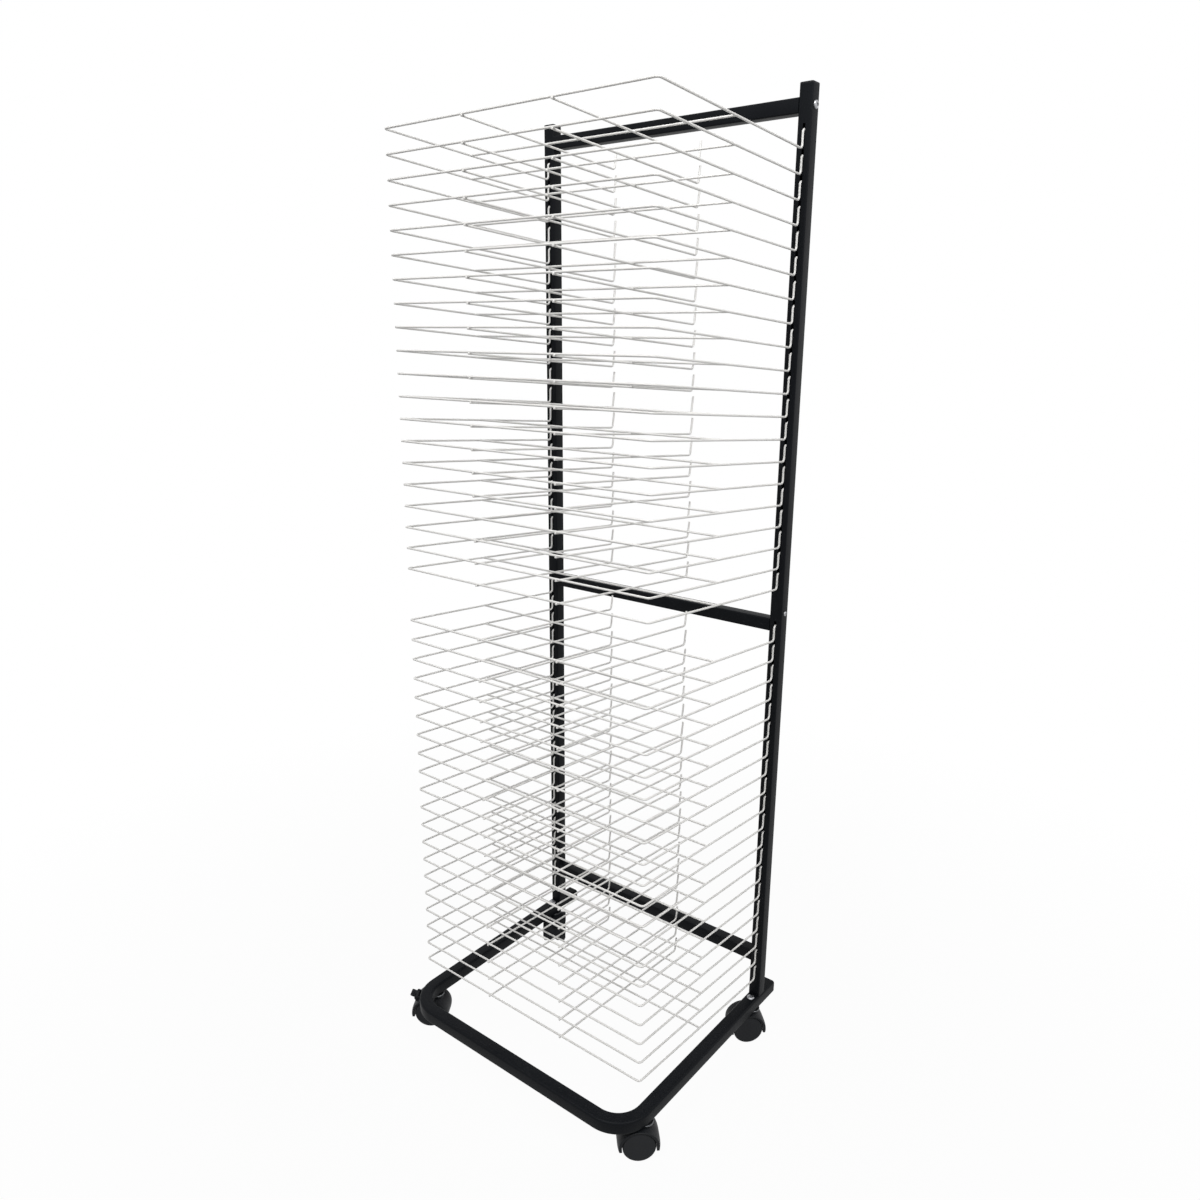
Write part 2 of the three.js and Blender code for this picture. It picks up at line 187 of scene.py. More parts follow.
def turned(
    profile: Sequence[Sequence[float]],
    origin: Sequence[float],
    axis: Sequence[float],
    sides: int = 40,
    hexed: Sequence[int] = (),
) -> np.ndarray:
    """A profile of radius and height turned about an axis.

    A ring is origin + axis * height + radius * (cosine, sine). On a hexagonal row the radius
    is the distance to a flat, divided by the cosine of the angle from that flat's middle.

    Args:
        profile: Rows of radius and height, from the low end round the outside to the high end.
        origin: The point of height 0.
        axis: Direction of the heights.
        sides: Points in each ring.
        hexed: Numbers of the rows that are hexagonal.

    Returns:
        One ring of points for each row of the profile.
    """
    rows = np.asarray(profile, float)
    direction = unit(np.asarray(axis, float))
    lean = np.array([0.0, 0.0, 1.0]) if abs(direction[2]) < 0.9 else np.array([1.0, 0.0, 0.0])
    u = unit(lean - (lean @ direction) * direction)
    v = np.cross(direction, u)
    angle = np.linspace(0, 2 * math.pi, sides, endpoint=False)
    from_flat = np.mod(angle, math.pi / 3) - math.pi / 6
    factor = np.ones((len(rows), sides))
    factor[list(hexed)] = 1 / np.cos(from_flat)
    radius = rows[:, :1] * factor
    around = radius[..., None] * (np.cos(angle)[:, None] * u + np.sin(angle)[:, None] * v)
    return np.asarray(origin, float) + rows[:, 1, None, None] * direction + around


class Socket:
    """A shader socket whose arithmetic adds Math nodes."""

    def __init__(self, bench: "Bench", link: bpy.types.NodeSocket) -> None:
        """Keeps the socket and the bench that its nodes stand on."""
        self.bench = bench
        self.link = link

    def math(self, operation: str, first: "Shade", second: "Shade") -> "Socket":
        """One Math node of that operation on two values."""
        return self.bench.add("ShaderNodeMath", {"operation": operation}, {0: first, 1: second})

    def __add__(self, other: "Shade") -> "Socket":
        """Sum of two values."""
        return self.math("ADD", self, other)

    def __radd__(self, other: "Shade") -> "Socket":
        """Sum with a number in front."""
        return self.math("ADD", other, self)

    def __sub__(self, other: "Shade") -> "Socket":
        """Difference of two values."""
        return self.math("SUBTRACT", self, other)

    def __rsub__(self, other: "Shade") -> "Socket":
        """A number less this value."""
        return self.math("SUBTRACT", other, self)

    def __mul__(self, other: "Shade") -> "Socket":
        """Product of two values."""
        return self.math("MULTIPLY", self, other)

    def __rmul__(self, other: "Shade") -> "Socket":
        """Product with a number in front."""
        return self.math("MULTIPLY", other, self)

    def __pow__(self, other: "Shade") -> "Socket":
        """This value raised to a power."""
        return self.math("POWER", self, other)

    def __or__(self, other: "Shade") -> "Socket":
        """The larger of two values."""
        return self.math("MAXIMUM", self, other)


Shade = Union[Socket, float]


class Bench:
    """A node tree and the one way in which nodes are put on it."""

    def __init__(self, tree: bpy.types.NodeTree) -> None:
        """Clears the tree."""
        self.tree = tree
        tree.nodes.clear()

    def add(self, kind: str, settings: dict, inputs: dict, out: Union[int, str] = 0) -> Socket:
        """Adds one node.

        Args:
            kind: The node's type.
            settings: Values set on the node itself before its sockets; stops are a ramp's.
            inputs: Values or links by the socket's name or number.
            out: The output that is returned.

        Returns:
            The chosen output, wrapped for arithmetic.
        """
        node = self.tree.nodes.new(kind)
        for key, value in settings.items():
            if key == "stops":
                self.set_stops(node.color_ramp, value)
            else:
                setattr(node, key, value)
        for key, value in inputs.items():
            if isinstance(value, Socket):
                self.tree.links.new(value.link, node.inputs[key])
            else:
                node.inputs[key].default_value = value
        return Socket(self, node.outputs[out] if len(node.outputs) else None)

    def set_stops(self, ramp: bpy.types.ColorRamp, stops: Sequence[tuple[float, float]]) -> None:
        """Gives a ramp grey stops of place and brightness."""
        while len(ramp.elements) < len(stops):
            ramp.elements.new(0.5)
        for element, (place, grey) in zip(ramp.elements, stops):
            element.position = place
            element.color = (grey, grey, grey, 1)

    def place(self) -> Socket:
        """The piece's own Object coordinates."""
        return self.add("ShaderNodeTexCoord", {}, {}, "Object")

    def noise(self, scale: float, detail: float = 2.0, rough: float = 0.5) -> Socket:
        """Noise of a given fineness on Object coordinates, about 0.5."""
        values = {"Vector": self.place(), "Scale": scale, "Detail": detail, "Roughness": rough}
        return self.add("ShaderNodeTexNoise", {}, values)

    def ramp(self, value: Socket, low: float, high: float) -> Socket:
        """0 below low, 1 above high, and a straight rise between them."""
        return self.add("ShaderNodeValToRGB", {"stops": [(low, 0.0), (high, 1.0)]}, {"Fac": value})

    def blend(self, mask: Shade, under: object, over: object) -> Socket:
        """Two colours mixed by a mask."""
        colours = {0: mask, 6: rgba(under), 7: rgba(over)}
        return self.add("ShaderNodeMix", {"data_type": "RGBA"}, colours, 2)

    def facing_up(self) -> Socket:
        """1 where a surface faces straight up, 0 where it is upright or faces down."""
        normal = self.add("ShaderNodeNewGeometry", {}, {}, "Normal")
        height = self.add("ShaderNodeSeparateXYZ", {}, {0: normal}, "Z")
        return height | 0.0

    def bump(self, height: Socket, strength: float, distance: float) -> Socket:
        """A normal tipped by the slope of a height."""
        values = {"Strength": strength, "Distance": distance, "Height": height}
        return self.add("ShaderNodeBump", {}, values)

    def surface(self, **sockets: object) -> None:
        """Closes the tree with one Principled shader; underscores stand for spaces."""
        values = {name.replace("_", " "): value for name, value in sockets.items()}
        shader = self.add("ShaderNodeBsdfPrincipled", {}, values)
        self.add("ShaderNodeOutputMaterial", {}, {"Surface": shader})


def rgba(colour: object) -> object:
    """A colour with full cover, or the socket as it is."""
    return colour if isinstance(colour, Socket) else (*colour, 1.0)


@dataclass(frozen=True)
class Finish:
    """What a piece is made of; each kind of finish shades itself on a bench."""

    name: str
    slot: Slot

    def material(self) -> bpy.types.Material:
        """The finish's material, made at its first use."""
        made = bpy.data.materials.get(self.name)
        if made is None:
            made = bpy.data.materials.new(self.name)
            made.use_nodes = True
            self.shade(Bench(made.node_tree))
        return made

    def shade(self, bench: Bench) -> None:
        """Puts the finish's nodes on the bench."""
        raise NotImplementedError


@dataclass(frozen=True)
class PowderCoat(Finish):
    """Baked powder paint with orange peel, faint clouds and a little dust on its upper faces."""

    colour: tuple[float, float, float]
    cloud: tuple[float, float, float]
    dust: tuple[float, float, float]
    roughness: float
    peel_per_metre: float = 420.0
    dust_cover: float = 0.25
    specular: float = 0.5

    def shade(self, bench: Bench) -> None:
        """Clouds and dust into colour and gloss, orange peel into the normal."""
        clouds = bench.ramp(bench.noise(7.0, 4.0, 0.6), 0.35, 0.68)
        specks = bench.ramp(bench.noise(260.0, 3.0, 0.65), 0.52, 0.72)
        dust = specks * bench.facing_up() * self.dust_cover
        painted = bench.blend(clouds, self.colour, self.cloud)
        peel = bench.noise(self.peel_per_metre, 2.0, 0.45)
        fine = bench.noise(self.peel_per_metre * 4.0, 1.0, 0.5)
        bench.surface(
            Base_Color=bench.blend(dust, painted, self.dust),
            Roughness=self.roughness + clouds * 0.06 + dust * 0.3 + fine * 0.06,
            Normal=bench.bump(peel + fine * 0.35, 0.16, 0.0006),
            Specular_IOR_Level=self.specular,
        )


@dataclass(frozen=True)
class MouldedPlastic(Finish):
    """Moulded plastic with a spark-eroded grain, rubbed smoother and paler in patches."""

    colour: tuple[float, float, float]
    rubbed: tuple[float, float, float]
    roughness: float
    grain_per_metre: float = 1500.0
    specular: float = 0.16

    def shade(self, bench: Bench) -> None:
        """Rubbed patches into colour and gloss, the mould's grain into the normal."""
        patches = bench.ramp(bench.noise(55.0, 4.0, 0.6), 0.45, 0.75)
        grain = bench.noise(self.grain_per_metre, 2.0, 0.6)
        bench.surface(
            Base_Color=bench.blend(patches * 0.6, self.colour, self.rubbed),
            Roughness=self.roughness - patches * 0.1 + grain * 0.08,
            Normal=bench.bump(grain, 0.22, 0.0003),
            Specular_IOR_Level=self.specular,
        )


@dataclass(frozen=True)
class WheelPlastic(Finish):
    """Hard wheel plastic: a smooth disc, and a tread scuffed dull and grey by the floor."""

    disc: tuple[float, float, float]
    tread: tuple[float, float, float]
    scuff: tuple[float, float, float]
    roughness: float

    def shade(self, bench: Bench) -> None:
        """The tread's own attribute chooses between disc and scuffed tread."""
        tread = bench.add("ShaderNodeAttribute", {"attribute_name": "tread"}, {}, "Fac")
        scuffs = bench.ramp(bench.noise(240.0, 5.0, 0.7), 0.42, 0.7)
        grain = bench.noise(1300.0, 2.0, 0.55)
        worn = bench.blend(scuffs, self.tread, self.scuff)
        bench.surface(
            Base_Color=bench.blend(tread, self.disc, worn),
            Roughness=self.roughness + tread * 0.2 + scuffs * tread * 0.1 + grain * 0.06,
            Normal=bench.bump(grain + scuffs * tread * 0.6, 0.15, 0.0003),
            Specular_IOR_Level=0.16,
        )


@dataclass(frozen=True)
class ZincPlate(Finish):
    """Zinc plating with faint crystal clouds and fine tool lines; bright on the bolts, painted dark with shade on the
    collars.
    """

    colour: tuple[float, float, float]
    dull: tuple[float, float, float]
    roughness: float

    def shade(self, bench: Bench) -> None:
        """Clouds dull the plating's colour and gloss; fine lines tip its normal."""
        clouds = bench.ramp(bench.noise(420.0, 4.0, 0.6), 0.38, 0.7)
        lines = bench.noise(2600.0, 1.0, 0.5)
        bench.surface(
            Base_Color=bench.blend(clouds, self.colour, self.dull),
            Metallic=1.0,
            Roughness=self.roughness + clouds * 0.15 + lines * 0.08,
            Normal=bench.bump(lines, 0.12, 0.0002),
        )


BLACK_PAINT = PowderCoat(
    "black_powder_coat", Slot.FRAME, (0.0036, 0.0043, 0.0056), (0.0056, 0.0065, 0.0082),
    (0.030, 0.030, 0.031), 0.4, specular=0.07,
)
WHITE_PAINT = PowderCoat(
    "white_powder_coat", Slot.SHELF, (0.780, 0.770, 0.750), (0.725, 0.715, 0.695),
    (0.560, 0.555, 0.540), 0.36, peel_per_metre=900.0, dust_cover=0.18,
)
CAP_PLASTIC = MouldedPlastic("black_plug_plastic", Slot.CAP, (0.005, 0.0055, 0.0065), (0.010, 0.0105, 0.012), 0.5)
CASTER_PLASTIC = MouldedPlastic(
    "dark_caster_plastic", Slot.CASTER, (0.0052, 0.0060, 0.0076), (0.011, 0.012, 0.014), 0.46
)
WHEEL_PLASTIC = WheelPlastic(
    "dark_wheel_plastic", Slot.WHEEL, (0.0085, 0.0096, 0.0118), (0.0075, 0.0082, 0.0098), (0.022, 0.022, 0.023), 0.36
)
PEDAL_PLASTIC = MouldedPlastic("dark_pedal_plastic", Slot.PEDAL, (0.0052, 0.0060, 0.0074), (0.011, 0.012, 0.0135), 0.5)
ZINC = ZincPlate("bright_zinc", Slot.BARE_METAL, (0.40, 0.405, 0.42), (0.26, 0.265, 0.275), 0.30)
# The collars' zinc plating, painted far darker than the bolts' zinc: painted shade for their place under the base tube.
SHADED_ZINC = ZincPlate("dark_steel", Slot.BARE_METAL, (0.13, 0.135, 0.14), (0.08, 0.083, 0.088), 0.30)


class Surface:
    """Closed surfaces gathered into the mesh of one piece."""

    SHARP = math.radians(38)

    def __init__(self) -> None:
        """Starts with no points."""
        self.points: list[np.ndarray] = []
        self.faces: list[np.ndarray] = []
        self.count = 0

    def add(self, points: np.ndarray, *blocks: np.ndarray) -> "Surface":
        """Adds points, and blocks of faces that count from the first of them."""
        self.points.append(points.reshape(-1, 3))
        self.faces.extend(block + self.count for block in blocks)
        self.count += len(self.points[-1])
        return self

    def loft(self, rings: np.ndarray, place: Optional[Callable[[np.ndarray], np.ndarray]] = None) -> "Surface":
        """Adds a skin over rings of points, closed at both ends.

        Point j of ring i joins point j + 1 and the same two of ring i + 1 in one face.

        Args:
            rings: Rings in order, each counter-clockwise as seen from the far end.
            place: Moves the points to where the piece stands, if they aren't there.

        Returns:
            The surface itself.
        """
        n, m = rings.shape[:2]
        i, j = np.arange(n - 1)[:, None] * m, np.arange(m)[None]
        k = (j + 1) % m
        sides = np.stack([i + j, i + k, i + m + k, i + m + j], -1).reshape(-1, 4)
        ends = np.stack([np.arange(m)[::-1], (n - 1) * m + np.arange(m)])
        return self.add(rings if place is None else place(rings), sides, ends)

    def piece(
        self, name: str, body: str, finish: Finish, nodes: Sequence[str] = (), tread: Optional[np.ndarray] = None
    ) -> bpy.types.Object:
        """Makes the mesh object, dresses it and sets it on its CAD body.

        Args:
            name: The piece's name.
            body: The CAD body that it moves with.
            finish: What it is made of.
            nodes: CAD nodes that it stands for.
            tread: A wheel's share of tread at each point.

        Returns:
            The finished object.
        """
        points = np.concatenate(self.points)
        mesh = bpy.data.meshes.new(name)
        mesh.from_pydata(points.tolist(), [], [face for block in self.faces for face in block.tolist()])
        mesh.polygons.foreach_set("use_smooth", np.ones(len(mesh.polygons), bool))
        mesh.set_sharp_from_angle(angle=self.SHARP)
        if tread is not None:
            mesh.attributes.new("tread", "FLOAT", "POINT").data.foreach_set("value", tread.astype(np.float32))
        mesh.materials.append(finish.material())
        made = bpy.data.objects.new(name, mesh)
        bpy.context.scene.collection.objects.link(made)
        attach(made, body)
        if nodes:
            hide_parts(*nodes)
        log.info("%s: %d faces on %s", name, len(mesh.polygons), body)
        return made


def joint_named(name: str) -> dict:
    """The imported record's joint of that name."""
    return next(joint for joint in frame["joints"] if joint["name"] == name)


def node_box(node: str) -> tuple[np.ndarray, np.ndarray]:
    """A CAD node's lowest and highest corner as arrays."""
    low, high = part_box(node)
    return np.array(low), np.array(high)


@dataclass
class WireShelf:
    """One shelf of welded wire: a hooked rim, a cross wire and two inner wires."""

    number: int
    half_width: float = 226 * MM
    depth: float = 331 * MM
    wire: float = 1.5 * MM
    slope: float = math.tan(math.radians(4.2))
    hook_rise: float = 24 * MM
    hook_reach: float = 9.8 * MM
    hook_tip: float = 5 * MM
    pivot_back: float = 2.4 * MM
    cross_back: float = 171 * MM
    inner_x: float = 75.5 * MM
    inner_drop: float = 2.003 * MM
    overhang: float = 2.5 * MM
    stop_back: float = 19 * MM
    stop_rise: float = 24 * MM
    stop_lean: float = math.radians(9)
    tip_bend: float = 3.5 * MM
    hook_bend: float = 4 * MM
    foot_bend: float = 5 * MM
    corner_bend: float = 5 * MM
    sides: int = 12
    bend_steps: int = 6

    def origin(self) -> np.ndarray:
        """The middle of the shelf at its rear bend, from its hinge under the hooks."""
        hinge = np.array(joint_named(f"shelf_{self.number:02d}_lift")["pos_m"])
        return hinge - [0.0, self.pivot_back, self.hook_rise - self.wire]

    def plane(self, y: float) -> float:
        """Height of the sloping shelf plane at a place behind or before the rear bend."""
        return -y * self.slope

    def rim(self) -> np.ndarray:
        """Rim wire: hook, drop, one side, the front, the other side, drop and hook."""
        x, front = self.half_width, -self.depth
        half = np.array([
            [x, self.hook_reach, self.hook_rise + self.hook_tip],
            [x, self.hook_reach, self.hook_rise],
            [x, 0, self.hook_rise],
            [x, 0, 0],
            [x, front, self.plane(front)],
        ])
        bends = [self.tip_bend, self.hook_bend, self.foot_bend, self.corner_bend]
        path = bent_path(np.concatenate([half, half[::-1] * [-1, 1, 1]]), bends + bends[::-1], self.bend_steps)
        return self.wire_along(path, (0, 1, 0))

    def inner(self, x: float) -> np.ndarray:
        """Inner wire: from past the front wire and under the cross wire, then up as a stop that leans back."""
        front, back = -self.depth - self.overhang, -self.stop_back
        foot = self.plane(back) - self.inner_drop
        tip = [x, back + self.stop_rise * math.tan(self.stop_lean), foot + self.stop_rise]
        corners = [[x, front, self.plane(front) - self.inner_drop], [x, back, foot], tip]
        return self.wire_along(bent_path(corners, [self.foot_bend], self.bend_steps), (1, 0, 0))

    def cross(self) -> np.ndarray:
        """Cross wire between the rim's two sides."""
        height = self.plane(-self.cross_back)
        ends = np.array([[-self.half_width, -self.cross_back, height], [self.half_width, -self.cross_back, height]])
        return self.wire_along(ends, (0, 1, 0))

    def wire_along(self, path: np.ndarray, side: Sequence[float]) -> np.ndarray:
        """Round wire along a path, with each cut end broken by a small chamfer."""
        start, end = unit(path[1] - path[0]), unit(path[-2] - path[-1])
        cut = 0.25 * self.wire
        path = np.concatenate([path[:1], path[:1] + start * cut, path[1:-1], path[-1:] + end * cut, path[-1:]])
        scale = np.ones(len(path))
        scale[[0, -1]] = 0.8
        return sweep(path, circle(self.wire, self.sides), side, scale)

    def weld(self, x: float, y: float, lift: float) -> np.ndarray:
        """Weld upset at a crossing: a flat drop, its radius the sine and its height the cosine of one angle."""
        angle = np.linspace(0.08, math.pi - 0.08, 7)
        profile = np.stack([1.4 * self.wire * np.sin(angle), -0.7 * self.wire * np.cos(angle)], -1)
        return turned(profile, (x, y, self.plane(y) + lift), (0, 0, 1), 12)

    def build(self) -> bpy.types.Object:
        """All wires and welds of the shelf as one piece."""
        at = self.origin()
        surface = Surface()
        rings = [self.rim(), self.cross(), self.inner(-self.inner_x), self.inner(self.inner_x)]
        rings += [
            self.weld(x, y, -self.inner_drop / 2)
            for x in (-self.inner_x, self.inner_x)
            for y in (-self.cross_back, -self.depth)
        ]
        rings += [self.weld(x, -self.cross_back, 0) for x in (-self.half_width + self.wire, self.half_width - self.wire)]
        for each in rings:
            surface.loft(each, lambda points: points + at)
        node = f"shelf_{self.number:02d}"
        return surface.piece(f"{node}_wire", node, WHITE_PAINT, [node])


@dataclass
class Post:
    """One slotted square post with its plug and its bolts."""

    side: Side
    shelves: int = 40
    corner: float = 2.2 * MM
    wall: float = 1.2 * MM
    slot_half: float = 1.9 * MM
    slot_below: float = 1.69 * MM
    slot_above: float = 8.785 * MM
    corner_steps: int = 4
    plug_depth: float = 12 * MM
    plug_inset: float = 1.5 * MM
    top_bolt_drop: float = 25 * MM
    mid_bolt_rise: float = 19 * MM

    def name(self) -> str:
        """left_post or right_post."""
        return f"{self.side.name.lower()}_post"

    def outline(self, half: float, corner: float) -> np.ndarray:
        """Rounded square that starts with the two edges of the slot in its front side."""
        box = np.roll(rounded_box(2 * half, 2 * half, corner, self.corner_steps), self.corner_steps + 1, axis=0)
        return np.concatenate([[[-self.slot_half, -half], [self.slot_half, -half]], box])

    def tube(self) -> Surface:
        """Slotted tube: an outer and an inner skin on one grid of outline and height.

        The grid's rows stand at the ends and at each slot's lower and upper edge. The faces
        between a slot's edges are left out of both skins, and four small faces line each slot.

        Returns:
            The tube's surface, in place.
        """
        low, high = node_box(self.name())
        half = (high[0] - low[0]) / 2
        hinges = np.array([joint_named(f"shelf_{n:02d}_lift")["pos_m"][2] for n in range(self.shelves, 0, -1)])
        edges = np.stack([hinges - self.slot_below, hinges + self.slot_above], -1).ravel()
        z = np.concatenate([[low[2]], edges, [high[2]]])
        centre = (low + high)[:2] / 2
        skins = [self.outline(half, self.corner), self.outline(half - self.wall, self.corner - self.wall)]
        m, rows = len(skins[0]), len(z)
        grid = np.array([
            np.concatenate([
                np.broadcast_to(skin + centre, (rows, m, 2)), np.broadcast_to(z[:, None, None], (rows, m, 1))
            ], -1)
            for skin in skins
        ])
        number = np.arange(2 * rows * m).reshape(2, rows, m)
        outer, inner = number
        past = np.roll(number, -1, axis=2)
        kept = np.ones((rows - 1, m), bool)
        kept[1::2, 0] = False
        out_skin = np.stack([outer[:-1], past[0, :-1], past[0, 1:], outer[1:]], -1)[kept]
        in_skin = np.stack([inner[:-1], inner[1:], past[1, 1:], past[1, :-1]], -1)[kept]
        base, top = np.arange(1, rows - 1, 2), np.arange(2, rows, 2)
        sills = np.stack([outer[base, 0], outer[base, 1], inner[base, 1], inner[base, 0]], -1)
        heads = np.stack([outer[top, 0], inner[top, 0], inner[top, 1], outer[top, 1]], -1)
        left = np.stack([outer[base, 0], inner[base, 0], inner[top, 0], outer[top, 0]], -1)
        right = np.stack([outer[base, 1], outer[top, 1], inner[top, 1], inner[base, 1]], -1)
        foot = np.stack([outer[0], inner[0], past[1, 0], past[0, 0]], -1)
        crown = np.stack([outer[-1], past[0, -1], past[1, -1], inner[-1]], -1)
        return Surface().add(grid, out_skin, in_skin, sills, heads, left, right, foot, crown)

    def plug(self) -> Surface:
        """Plug in the post's top: rounded squares stacked from its shank to its softened top."""
        low, high = node_box(f"{self.name()}_cap")
        x, y = (low + high)[:2] / 2
        size, top = high[0] - low[0], high[2]
        return Surface().loft(plug_rings(size, self.plug_depth, self.corner, self.plug_inset), lambda p: p + [x, y, top])

    def bolts(self) -> Surface:
        """Heads on the post's outer side: a domed one at the top rail, a small one above the mid rail."""
        low, high = node_box(self.name())
        outward = np.array([self.side.value, 0.0, 0.0])
        face = high[0] if self.side is Side.RIGHT else low[0]
        y = (low[1] + high[1]) / 2
        mid = sum(node_box("mid_rail"))[2] / 2
        surface = Surface()
        surface.loft(bolt_head((face, y, high[2] - self.top_bolt_drop), outward, 5.6 * MM, 3.2 * MM))
        surface.loft(bolt_head((face, y, mid + self.mid_bolt_rise), outward, 3.6 * MM, 2.2 * MM))
        return surface

    def build(self) -> None:
        """The tube, its plug and its bolts as three pieces."""
        name = self.name()
        self.tube().piece(f"{name}_tube", "frame", BLACK_PAINT, [name])
        self.plug().piece(f"{name}_plug", "frame", CAP_PLASTIC, [f"{name}_cap"])
        self.bolts().piece(f"{name}_bolts", "frame", ZINC)


def plug_rings(size: float, depth: float, corner: float, inset: float, plate: float = 2.5 * MM) -> np.ndarray:
    """Rings of a tube plug along z, its top at 0: a shank, then a plate with a rounded edge.

    The edge follows a quarter turn: the plate's half size falls by one less the cosine of an
    angle while the height rises by its sine.

    Args:
        size: The plate's size across.
        depth: Length of the shank below the plate.
        corner: The plate's corner radius.
        inset: How far the shank stands in from the plate's side.
        plate: The plate's thickness.

    Returns:
        One ring for each level.
    """
    shank = size - 2 * inset
    angle = np.linspace(0, math.pi / 2, 5)
    soft = 1.1 * MM
    levels = [(-plate - depth, shank - 2 * MM), (-plate - depth + 1 * MM, shank), (-plate, shank), (-plate, size)]
    levels += [(-soft + soft * math.sin(a), size - 2 * soft * (1 - math.cos(a))) for a in angle]
    levels += [(0.0, size * 0.55)]
    return np.stack([
        np.concatenate([rounded_box(s, s, corner * s / size, 4), np.full((20, 1), z)], -1) for z, s in levels
    ])


def bolt_head(origin: Sequence[float], axis: Sequence[float], radius: float, height: float) -> np.ndarray:
    """Washer and domed head with a six-sided socket, turned about the bolt's axis.

    The dome's radius falls with the cosine of an angle while its height rises with the sine.

    Args:
        origin: Middle of the head's seat.
        axis: Direction that the head faces.
        radius: The head's radius.
        height: The head's height.

    Returns:
        The head's rings.
    """
    angle = np.linspace(0, 1.15, 6)
    dome = [(radius * math.cos(a), 0.35 * height + 0.65 * height * math.sin(a) / math.sin(1.15)) for a in angle]
    socket = radius * 0.36
    profile = [(radius * 0.9, -0.1 * MM), (radius, 0.0), *dome, (socket, height), (socket, height * 0.4), (0.1 * MM, height * 0.35)]
    return turned(profile, origin, axis, 36, [len(profile) - 3, len(profile) - 2])


@dataclass
class Rail:
    """One square rail between the posts."""

    name: str
    corner: float = 2.2 * MM

    def build(self) -> bpy.types.Object:
        """Rounded square carried straight from post to post."""
        low, high = node_box(self.name)
        middle = (low + high) / 2
        ends = np.array([[low[0], middle[1], middle[2]], [high[0], middle[1], middle[2]]])
        section = rounded_box(high[1] - low[1], high[2] - low[2], self.corner, 4)
        rings = sweep(ends, section, (0, 1, 0))
        return Surface().loft(rings).piece(f"{self.name}_tube", "frame", BLACK_PAINT, [self.name])


@dataclass
class BaseFrame:
    """The bent base tube with its end plugs and the two bolts that hold the posts' feet."""

    size: float = 22 * MM
    corner: float = 4 * MM
    bend: float = 50 * MM
    bend_steps: int = 18
    plug_depth: float = 14 * MM
    plug_inset: float = 1.8 * MM
    bolt_before_post: float = 10.3 * MM
    bolt_radius: float = 6.2 * MM
    bolt_height: float = 3.2 * MM

    def tube(self) -> Surface:
        """Rounded square carried from one rear end round the two front bends to the other."""
        low, high = node_box("base_tube")
        z = (low[2] + high[2]) / 2
        x, front = high[0] - self.size / 2, low[1] + self.size / 2
        corners = [[-x, high[1], z], [-x, front, z], [x, front, z], [x, high[1], z]]
        path = bent_path(corners, [self.bend, self.bend], self.bend_steps)
        return Surface().loft(sweep(path, rounded_box(self.size, self.size, self.corner, 6), (1, 0, 0)))

    def plug(self, side: Side) -> Surface:
        """Plug in one rear end, its plate facing back."""
        low, high = node_box(f"{side.name.lower()}_base_cap")
        x, z = (low[0] + high[0]) / 2, (low[2] + high[2]) / 2
        rings = plug_rings(self.size, self.plug_depth, self.corner, self.plug_inset)
        return Surface().loft(rings, lambda p: np.stack([p[..., 1] + x, p[..., 2] + high[1], p[..., 0] + z], -1))

    def bolt(self, side: Side) -> Surface:
        """Domed head on the tube's top, just before one post."""
        low, high = node_box(f"{side.name.lower()}_post")
        seat = ((low[0] + high[0]) / 2, low[1] - self.bolt_before_post, low[2])
        return Surface().loft(bolt_head(seat, (0, 0, 1), self.bolt_radius, self.bolt_height))

    def build(self) -> None:
        """The tube, two plugs and two bolts."""
        self.tube().piece("base_tube_bent", "frame", BLACK_PAINT, ["base_tube"])
        for side in Side:
            name = side.name.lower()
            self.plug(side).piece(f"{name}_base_plug", "frame", CAP_PLASTIC, [f"{name}_base_cap"])
            self.bolt(side).piece(f"{name}_foot_bolt", "frame", ZINC)


